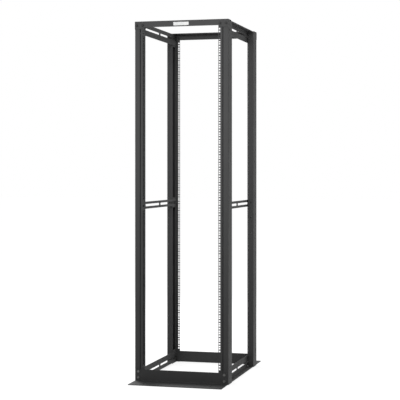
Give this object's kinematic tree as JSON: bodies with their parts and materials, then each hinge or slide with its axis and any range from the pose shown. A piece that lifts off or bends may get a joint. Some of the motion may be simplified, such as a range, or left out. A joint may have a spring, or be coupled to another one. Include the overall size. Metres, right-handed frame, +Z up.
{
  "type": "four post open frame rack",
  "caption": "Open steel frame for 19 inch equipment: upright posts with square holes, slotted side rails and braces, crossbars, and base angles that stand on the floor.",
  "frame": {"origin": "on the floor, in the middle between the four posts", "axes": "+X to the right seen from the front, +Y from the front to the rear, +Z up"},
  "size_m": [0.5708, 1.062, 2.1336],
  "materials": {
    "powder_coat": "black textured powder coat, satin",
    "plate": "pale bare plate",
    "fasteners": "black plated bolts, washers and nuts"
  },
  "bodies": {
    "root": {"post_front_left": "powder_coat", "post_front_right": "powder_coat", "post_rear_left": "powder_coat", "post_rear_right": "powder_coat", "side_rail_top_left": "powder_coat", "side_rail_top_right": "powder_coat", "side_rail_bottom_left": "powder_coat", "side_rail_bottom_right": "powder_coat", "mid_brace_left": "powder_coat", "mid_brace_right": "powder_coat", "top_crossbar_front": "powder_coat", "top_crossbar_rear": "powder_coat", "base_angle_front": "powder_coat", "base_angle_rear": "powder_coat", "label_plate": "plate"}
  },
  "joints": []
}
